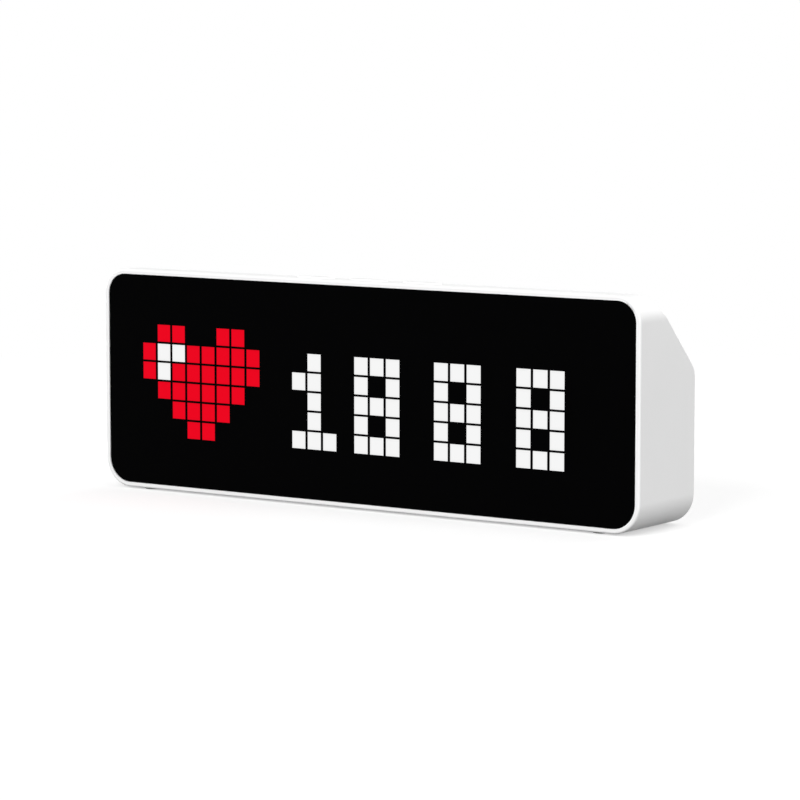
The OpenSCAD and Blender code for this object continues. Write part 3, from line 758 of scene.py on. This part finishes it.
@dataclass
class Case:
    """Housing, rear cover, their screws and the feet."""

    top_flat: float = 0.0081
    slope_blend: float = 0.0055
    slope_turn: float = math.radians(45)
    slope_slack: float = 1.5 * TOLERANCE
    inward_slack: float = 1e-4
    outer_round: Rounding = Rounding(0.0004, 4)
    inner_round: Rounding = Rounding(0.00015, 2)
    cover_round: Rounding = Rounding(0.00018, 2)
    foot_round: Rounding = Rounding(0.00015, 3)
    screw_round: Rounding = Rounding(0.00012, 2)
    low: Vector = field(default_factory=lambda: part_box("housing")[0])
    high: Vector = field(default_factory=lambda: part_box("housing")[1])

    def on_skin(self, point: Vector) -> bool:
        """Says whether a point lies on the rear face, the slope or the bend between them.

        Args:
            point: Point in the frame.

        Returns:
            True on the outer rear skin.
        """
        rear = self.high.y
        sum_on_slope = self.low.y + self.top_flat + self.high.z
        reach = self.slope_blend * math.tan(self.slope_turn / 2)
        bend = Vector((rear - self.slope_blend, sum_on_slope - rear - reach))
        from_bend = (Vector((point.y, point.z)) - bend).length
        past_bend = point.y > bend.x and point.z > bend.y - TOLERANCE
        on_bend = past_bend and abs(from_bend - self.slope_blend) < TOLERANCE
        on_slope = abs(point.y + point.z - sum_on_slope) < self.slope_slack
        return on_bend or on_slope or abs(point.y - rear) < TOLERANCE

    def rear_edge(self, edge: bmesh.types.BMEdge) -> bool:
        """Says whether an edge lies on the rear skin."""
        return all(self.on_skin(vertex.co) for vertex in edge.verts)

    def faces_out(self, edge: bmesh.types.BMEdge) -> bool:
        """Says whether an edge belongs to the outside of the housing's wall.

        Args:
            edge: Edge on the rear skin.

        Returns:
            True outside, False round the opening.
        """
        middle = (edge.verts[0].co + edge.verts[1].co) / 2
        centre = Vector((0.0, middle.y, (self.low.z + self.high.z) / 2))
        outward = middle - centre
        return all(face.normal.dot(outward) > -self.inward_slack for face in edge.link_faces)

    def keep_inside(self, mesh: bmesh.types.BMesh) -> None:
        """Brings points that a rounding pushed out back to the housing's box.

        Args:
            mesh: Mesh to change.
        """
        for vertex in mesh.verts:
            sides = zip(vertex.co, self.low, self.high)
            vertex.co = Vector(min(max(at, low), high) for at, low, high in sides)

    def build_housing(self) -> None:
        """Builds the housing with a rounded rear edge and soft button holes."""
        mesh = merged_copy("housing")
        top_hole = on_side("housing", Side.TOP)
        round_edges(
            mesh,
            lambda edge: self.rear_edge(edge) and self.faces_out(edge),
            self.outer_round,
        )
        round_edges(
            mesh,
            lambda edge: (self.rear_edge(edge) and not self.faces_out(edge)) or top_hole(edge),
            self.inner_round,
        )
        self.keep_inside(mesh)
        piece = finish_piece(mesh, "housing_moulding", Body.CASE, CASE_WHITE)
        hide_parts("housing")

    def build_cover(self) -> None:
        """Builds the rear cover with soft edges round its outline, holes and vents."""
        mesh = merged_copy("rear_cover")
        round_edges(mesh, self.rear_edge, self.cover_round)
        piece = finish_piece(mesh, "rear_cover_moulding", Body.CASE, CASE_WHITE)
        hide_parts("rear_cover")

    def build_feet(self) -> None:
        """Builds the feet with rounded tips."""
        mesh = merged_copy("rubber_feet")
        round_edges(mesh, on_side("rubber_feet", Side.UNDERSIDE), self.foot_round)
        piece = finish_piece(mesh, "rubber_foot_set", Body.CASE, FOOT_RUBBER)
        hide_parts("rubber_feet")

    def build_screws(self) -> None:
        """Builds the cover's screws with soft heads."""
        mesh = merged_copy("case_screws")
        round_edges(mesh, on_side("case_screws", Side.REAR), self.screw_round)
        piece = finish_piece(mesh, "case_screw_set", Body.CASE, SCREW_STEEL)
        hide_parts("case_screws")

    def build(self) -> None:
        """Builds all pieces of the case."""
        self.build_housing()
        self.build_cover()
        self.build_feet()
        self.build_screws()


@dataclass
class Display:
    """Front panel, pixel windows and the light behind them."""

    def dress(self) -> None:
        """Dresses the panel and what lies behind it."""
        dress(PANEL_BLACK, "front_panel")
        dress(PIXEL_DARK, "dark_pixel_windows")
        dress(PIXEL_WHITE, "white_pixel_windows")
        dress(PIXEL_RED, "red_pixel_windows")
        dress(TAPE, "panel_tape")
        dress(FILM, "diffuser_film")
        dress(GRID_WHITE, "light_grid")
        dress(BOARD_GREEN, "led_board")
        dress(LED_PACKAGE, "led_chips")
        dress(SCREW_STEEL, "led_board_screws")
        dress(SENSOR_PACKAGE, "light_sensor")


@dataclass
class Keys:
    """Top buttons, the power button and their switches."""

    top_round: Rounding = Rounding(0.00055, 5)
    power_round: Rounding = Rounding(0.0004, 4)
    ring_radius: float = 0.0013
    ring_width: float = 0.00028
    ring_open: float = math.radians(60)
    ring_steps: int = 36
    bar_length: float = 0.0013
    print_high: float = 0.00005

    def build_top(self) -> None:
        """Builds the three top buttons with rounded caps."""
        bodies = {"left": Body.LEFT_KEY, "middle": Body.MIDDLE_KEY, "right": Body.RIGHT_KEY}
        for side, body in bodies.items():
            node = side + "_button"
            mesh = merged_copy(node)
            round_edges(mesh, on_side(node, Side.TOP), self.top_round)
            piece = finish_piece(mesh, side + "_button_cap", body, BUTTON_WHITE)
            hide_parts(node)

    def build_power(self) -> None:
        """Builds the power button with a rounded cap."""
        mesh = merged_copy("power_button")
        round_edges(mesh, on_side("power_button", Side.REAR), self.power_round)
        piece = finish_piece(mesh, "power_button_cap", Body.POWER_KEY, BUTTON_WHITE)
        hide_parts("power_button")

    def build_symbol(self) -> None:
        """Prints a plain standby sign on the power button: an open ring and a bar."""
        low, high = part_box("power_button")
        middle = Vector(((low.x + high.x) / 2, high.y, (low.z + high.z) / 2))
        mesh = bmesh.new()
        stroke = (self.ring_width, 2 * self.print_high)
        ring_middle = Vector((0.0, 0.0, 0.0))
        start = bmesh.ops.create_grid(mesh, x_segments=1, y_segments=1, size=0.5)["verts"]
        bmesh.ops.scale(mesh, vec=(*stroke, 1.0), verts=start)
        bmesh.ops.translate(mesh, vec=(self.ring_radius, 0.0, 0.0), verts=start)
        turn = Matrix.Rotation((math.pi - self.ring_open) / 2, 3, "Y")
        bmesh.ops.rotate(mesh, cent=ring_middle, matrix=turn, verts=start)
        bmesh.ops.spin(
            mesh,
            geom=mesh.verts[:] + mesh.edges[:] + mesh.faces[:],
            cent=ring_middle,
            axis=(0.0, 1.0, 0.0),
            angle=self.ring_open - 2 * math.pi,
            steps=self.ring_steps,
        )
        bar = bmesh.ops.create_cube(mesh, size=1.0)["verts"]
        bmesh.ops.scale(mesh, vec=(*stroke, self.bar_length), verts=bar)
        bmesh.ops.translate(mesh, vec=(0.0, 0.0, self.ring_radius), verts=bar)
        bmesh.ops.translate(mesh, vec=middle, verts=mesh.verts[:])
        bmesh.ops.recalc_face_normals(mesh, faces=mesh.faces[:])
        finish_piece(mesh, "standby_sign", Body.POWER_KEY, CHIP_BLACK)

    def dress(self) -> None:
        """Dresses plungers, switches and the button board."""
        dress(CHIP_BLACK, "left_plunger", "middle_plunger", "right_plunger", "power_plunger")
        dress(CRADLE_GREY, "button_switches", "power_switch")
        dress(BOARD_GREEN, "button_board")

    def build(self) -> None:
        """Builds and dresses all keys."""
        self.build_top()
        self.build_power()
        self.build_symbol()
        self.dress()


@dataclass
class Electronics:
    """Main board, what it carries, and the power inlet."""

    mouth_round: Rounding = Rounding(0.0001, 2)
    contact_count: int = 6
    contact_step: float = 0.0009
    contact_size: Triple = (0.0005, 0.0045, 0.00006)
    contact_set: float = 0.0003
    tongue_thick: float = 0.0007

    def build_inlet(self) -> None:
        """Builds the inlet's shell with a rounded mouth."""
        mesh = merged_copy("usb_socket")
        round_edges(mesh, on_side("usb_socket", Side.REAR), self.mouth_round)
        piece = finish_piece(mesh, "inlet_shell", Body.CASE, INLET_METAL)
        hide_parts("usb_socket")

    def build_contacts(self) -> None:
        """Builds the contact strips on both faces of the inlet's tongue."""
        low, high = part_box("usb_tongue")
        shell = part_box("usb_socket")
        middle = Vector(((low.x + high.x) / 2, high.y, (shell[0].z + shell[1].z) / 2))
        mesh = bmesh.new()
        for side in (-1, 1):
            for number in range(self.contact_count):
                strip = bmesh.ops.create_cube(mesh, size=1.0)["verts"]
                bmesh.ops.scale(mesh, vec=self.contact_size, verts=strip)
                place = Vector((
                    (number - (self.contact_count - 1) / 2) * self.contact_step,
                    -self.contact_set - self.contact_size[1] / 2,
                    side * self.tongue_thick / 2,
                ))
                bmesh.ops.translate(mesh, vec=middle + place, verts=strip)
        finish_piece(mesh, "inlet_contacts", Body.CASE, NICKEL)

    def dress(self) -> None:
        """Dresses the boards and what they carry."""
        dress(BOARD_GREEN, "main_board")
        dress(SCREW_STEEL, "main_board_screws")
        dress(MODULE_BLUE, "radio_module")
        dress(SHIELD_METAL, "radio_shield")
        dress(CHIP_BLACK, "board_chips", "buzzer", "coin_cell_holder", "usb_tongue")
        dress(SENSOR_PACKAGE, "climate_sensor")
        dress(COIN_METAL, "coin_cell")
        dress(RIBBON_GREY, "led_ribbon")
        dress(CONNECTOR_IVORY, "ribbon_sockets")

    def build(self) -> None:
        """Builds and dresses the electronics."""
        self.build_inlet()
        self.build_contacts()
        self.dress()


@dataclass
class Battery:
    """Cells, cradle, strips and the lead to the main board."""

    def dress(self) -> None:
        """Dresses the battery's pieces."""
        dress(CELL_SLEEVE, "battery_cells")
        dress(NICKEL, "nickel_strips")
        dress(CRADLE_GREY, "battery_cradle")
        dress(TAPE, "cradle_tape")
        dress(WIRE_RED, "battery_lead")
        dress(CONNECTOR_IVORY, "battery_plug", "battery_socket")


@dataclass
class Lamp:
    """One soft box."""

    name: str
    place: Triple
    aim: Triple
    size: tuple[float, float]
    power: float

    def build(self) -> None:
        """Adds the lamp to the scene."""
        data = bpy.data.lights.new(self.name, "AREA")
        data.shape = "RECTANGLE"
        data.size, data.size_y = self.size
        data.energy = self.power
        lamp = bpy.data.objects.new(self.name, data)
        lamp.location = self.place
        direction = Vector(self.aim) - Vector(self.place)
        lamp.rotation_euler = direction.to_track_quat("-Z", "Y").to_euler()
        bpy.context.scene.collection.objects.link(lamp)


@dataclass
class Studio:
    """Floor, soft light, white surroundings and the camera."""

    azimuth: float = math.radians(34.78)
    elevation: float = math.radians(6.35)
    distance: float = 1.087
    slide: tuple[float, float] = (0.00353, -0.00274)
    target: Triple = (0.0, 0.0, 0.03565)
    lens: float = 157.52
    sensor: float = 36.0
    clip: tuple[float, float] = (0.01, 50.0)
    ambient: float = 0.4
    floor_size: float = 12.0
    floor_tone: float = 0.6
    floor_bounce: float = 0.07
    floor_lift: float = 0.51
    floor_clear: tuple[float, float] = (0.16, 0.5)
    lamps: Sequence[Lamp] = (
        Lamp("front_box", (0.1, -1.6, 0.7), (0.0, 0.0, 0.03), (1.2, 0.8), 24.8),
        Lamp("side_box", (1.5, -0.1, 0.5), (0.0, 0.0, 0.03), (0.9, 0.8), 9.7),
        Lamp("fill_box", (-1.5, -0.1, 0.5), (0.0, 0.0, 0.03), (0.9, 0.8), 5.2),
        Lamp("rear_box", (0.3, 1.5, 0.6), (0.0, 0.0, 0.03), (1.2, 0.8), 11.0),
    )

    def seen(self, graph: Graph) -> bpy.types.NodeSocket:
        """Makes a mask of the rays that show the surroundings.

        Args:
            graph: Graph of the floor or the world.

        Returns:
            Socket that is 1 for camera, glossy and transmission rays.
        """
        path = graph.add("LightPath").outputs
        shown = graph.math("MAXIMUM", path["Is Camera Ray"], path["Is Glossy Ray"])
        return graph.math("MAXIMUM", shown, path["Is Transmission Ray"])

    def build_world(self) -> None:
        """Makes a white world that lights the object softly."""
        world = bpy.data.worlds.new("studio")
        world.use_nodes = True
        bpy.context.scene.world = world
        graph = Graph(world.node_tree)
        graph.tree.nodes.clear()
        white = graph.add("Background", {"Color": WHITE, "Strength": 1.0}).outputs[0]
        soft = graph.add("Background", {"Color": WHITE, "Strength": self.ambient}).outputs[0]
        mixed = graph.add("MixShader", {0: self.seen(graph), 1: soft, 2: white}).outputs[0]
        graph.add("OutputWorld", {"Surface": mixed})

    def floor_material(self) -> bpy.types.Material:
        """Makes the floor: pale, with the object's shadow, and white further out.

        Returns:
            The floor's material.
        """
        material = bpy.data.materials.new("pale_floor")
        material.use_nodes = True
        graph = Graph(material.node_tree)
        graph.tree.nodes.clear()
        away = graph.add("VectorMath", {0: graph.place()}, operation="LENGTH").outputs["Value"]
        out = graph.span(away, 0.0, 1.0, *self.floor_clear)
        pale = graph.add("BsdfDiffuse", {"Color": (self.floor_tone,) * 3}).outputs[0]
        lift = graph.add("Emission", {"Color": WHITE, "Strength": self.floor_lift}).outputs[0]
        near = graph.add("AddShader", {0: pale, 1: lift}).outputs[0]
        white = graph.add("Emission", {"Color": WHITE, "Strength": 1.0}).outputs[0]
        shown = graph.add("MixShader", {0: out, 1: near, 2: white}).outputs[0]
        bounce = graph.add("BsdfDiffuse", {"Color": (self.floor_bounce,) * 3}).outputs[0]
        both = graph.add("MixShader", {0: self.seen(graph), 1: bounce, 2: shown}).outputs[0]
        graph.add("OutputMaterial", {"Surface": both})
        return material

    def build_floor(self) -> None:
        """Builds the floor under the feet."""
        mesh = bmesh.new()
        bmesh.ops.create_grid(mesh, x_segments=1, y_segments=1, size=self.floor_size / 2)
        data = bpy.data.meshes.new("floor")
        mesh.to_mesh(data)
        mesh.free()
        data.materials.append(self.floor_material())
        floor = bpy.data.objects.new("floor", data)
        bpy.context.scene.collection.objects.link(floor)

    def build_camera(self) -> None:
        """Sets the camera at the photograph's angle."""
        data = bpy.data.cameras.new("camera")
        data.lens, data.sensor_width = self.lens, self.sensor
        data.clip_start, data.clip_end = self.clip
        camera = bpy.data.objects.new("camera", data)
        flat = math.cos(self.elevation)
        back = Vector((
            math.sin(self.azimuth) * flat,
            -math.cos(self.azimuth) * flat,
            math.sin(self.elevation),
        ))
        right = Vector((math.cos(self.azimuth), math.sin(self.azimuth), 0.0))
        up = back.cross(right)
        aim = Vector(self.target) + right * self.slide[0] + up * self.slide[1]
        place = Matrix.Translation(aim + back * self.distance)
        camera.matrix_world = place @ Matrix((right, up, back)).transposed().to_4x4()
        bpy.context.scene.collection.objects.link(camera)
        bpy.context.scene.camera = camera

    def build(self) -> None:
        """Builds the whole studio."""
        bpy.context.scene.view_settings.view_transform = "Standard"
        self.build_camera()
        self.build_world()
        self.build_floor()
        for lamp in self.lamps:
            lamp.build()


def main() -> None:
    """Builds the studio and all pieces."""
    logging.basicConfig(level=logging.INFO, format="%(message)s")
    Studio().build()
    Case().build()
    Display().dress()
    Keys().build()
    Electronics().build()
    Battery().dress()


if __name__ == "__main__":
    main()
